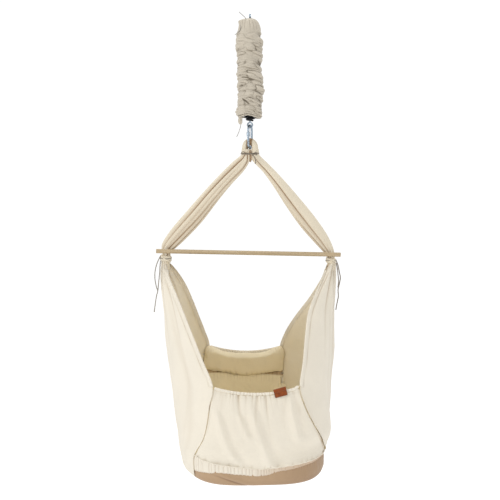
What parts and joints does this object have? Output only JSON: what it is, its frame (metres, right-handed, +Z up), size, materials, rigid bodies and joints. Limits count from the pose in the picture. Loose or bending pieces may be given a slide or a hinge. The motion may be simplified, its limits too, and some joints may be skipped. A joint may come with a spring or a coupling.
{
  "type": "spring baby hammock",
  "caption": "Cotton baby hammock with a mattress, hung from a covered extension spring by a screw-gate carabiner and spread by a round wooden bar.",
  "frame": {"origin": "centre of the hanging eye's bore", "axes": "+X along the bore and the spreader bar, to the right seen from the foot end; +Y towards the head end; +Z up"},
  "size_m": [0.6095, 0.759, 1.4258],
  "materials": {
    "zinc": "bright zinc plate",
    "dark_steel": "black oxide, satin",
    "cover_cloth": "unbleached cotton, gathered",
    "cord": "twisted cotton cord",
    "sling_cloth": "plain-weave cotton, cream",
    "lining_cloth": "plain-weave cotton, beige in shade",
    "wood": "sanded pale beech, oiled",
    "tan_cloth": "tan cotton",
    "filling": "wool and cotton filling",
    "leather": "smooth brown leather"
  },
  "bodies": {
    "hanger": {"hanging_eye": "zinc", "upper_lock_nut": "zinc"},
    "spring_head": {"upper_cone_plug": "dark_steel", "spring": "dark_steel", "spring_cover": "cover_cloth", "cover_top_tie": "cord", "cover_top_tail": "cord", "cover_side_tail": "cord"},
    "spring_foot": {"lower_cone_plug": "dark_steel", "cover_bottom_hem": "cover_cloth", "cover_tongue": "cover_cloth", "cover_bottom_tail": "cord"},
    "lower_swivel": {"lower_eye": "zinc", "lower_lock_nut": "zinc"},
    "carabiner": {"carabiner_body": "zinc", "gate_rivet": "zinc"},
    "gate": {"carabiner_gate": "zinc"},
    "sleeve": {"lock_sleeve": "zinc"},
    "hammock": {"fabric_loop": "sling_cloth", "neck_tie": "cord", "neck_tail": "cord", "left_arm": "sling_cloth", "right_arm": "sling_cloth", "spreader_bar": "wood", "left_bar_lashing": "cord", "right_bar_lashing": "cord", "left_knot": "cord", "right_knot": "cord", "left_tie_long": "cord", "left_tie_short": "cord", "right_tie_long": "cord", "right_tie_short": "cord", "left_panel": "sling_cloth", "right_panel": "sling_cloth", "front_panel": "sling_cloth", "back_panel": "sling_cloth", "front_hem": "sling_cloth", "back_hem": "lining_cloth", "head_bumper": "lining_cloth", "head_liner": "lining_cloth", "base_cover": "tan_cloth", "base_gather_band": "sling_cloth", "mattress_core": "filling", "floor_liner": "lining_cloth", "leather_label": "leather"}
  },
  "joints": [
    {"name": "top_swivel", "type": "hinge", "parent": "hanger", "child": "spring_head", "pos_m": [0, 0, -0.03], "axis": [0, 0, 1], "continuous": true},
    {"name": "spring_stretch", "type": "slide", "parent": "spring_head", "child": "spring_foot", "axis": [0, 0, -1], "range_m": [0, 0.25], "stiffness_N_per_m": 450, "springref_m": -0.15, "deforming": ["spring", "spring_cover"]},
    {"name": "bottom_swivel", "type": "hinge", "parent": "spring_foot", "child": "lower_swivel", "pos_m": [0, 0, -0.32], "axis": [0, 0, 1], "continuous": true},
    {"name": "carabiner_swing", "type": "hinge", "parent": "lower_swivel", "child": "carabiner", "pos_m": [0, 0, -0.3642], "axis": [0.9205, -0.3907, 0], "range_deg": [-20, 20]},
    {"name": "gate_hinge", "type": "hinge", "parent": "carabiner", "child": "gate", "pos_m": [-0.00635, -0.01496, -0.402], "axis": [-0.9205, 0.3907, 0], "range_deg": [0, 15], "stiffness_Nm_per_rad": 0.1, "springref_deg": -20.05},
    {"name": "sleeve_lock", "type": "slide", "parent": "gate", "child": "sleeve", "axis": [0, 0, 1], "range_m": [0, 0.0065]},
    {"name": "loop_swing", "type": "hinge", "parent": "carabiner", "child": "hammock", "pos_m": [0, 0, -0.42045], "axis": [0.3907, 0.9205, 0], "range_deg": [-10, 10]}
  ]
}
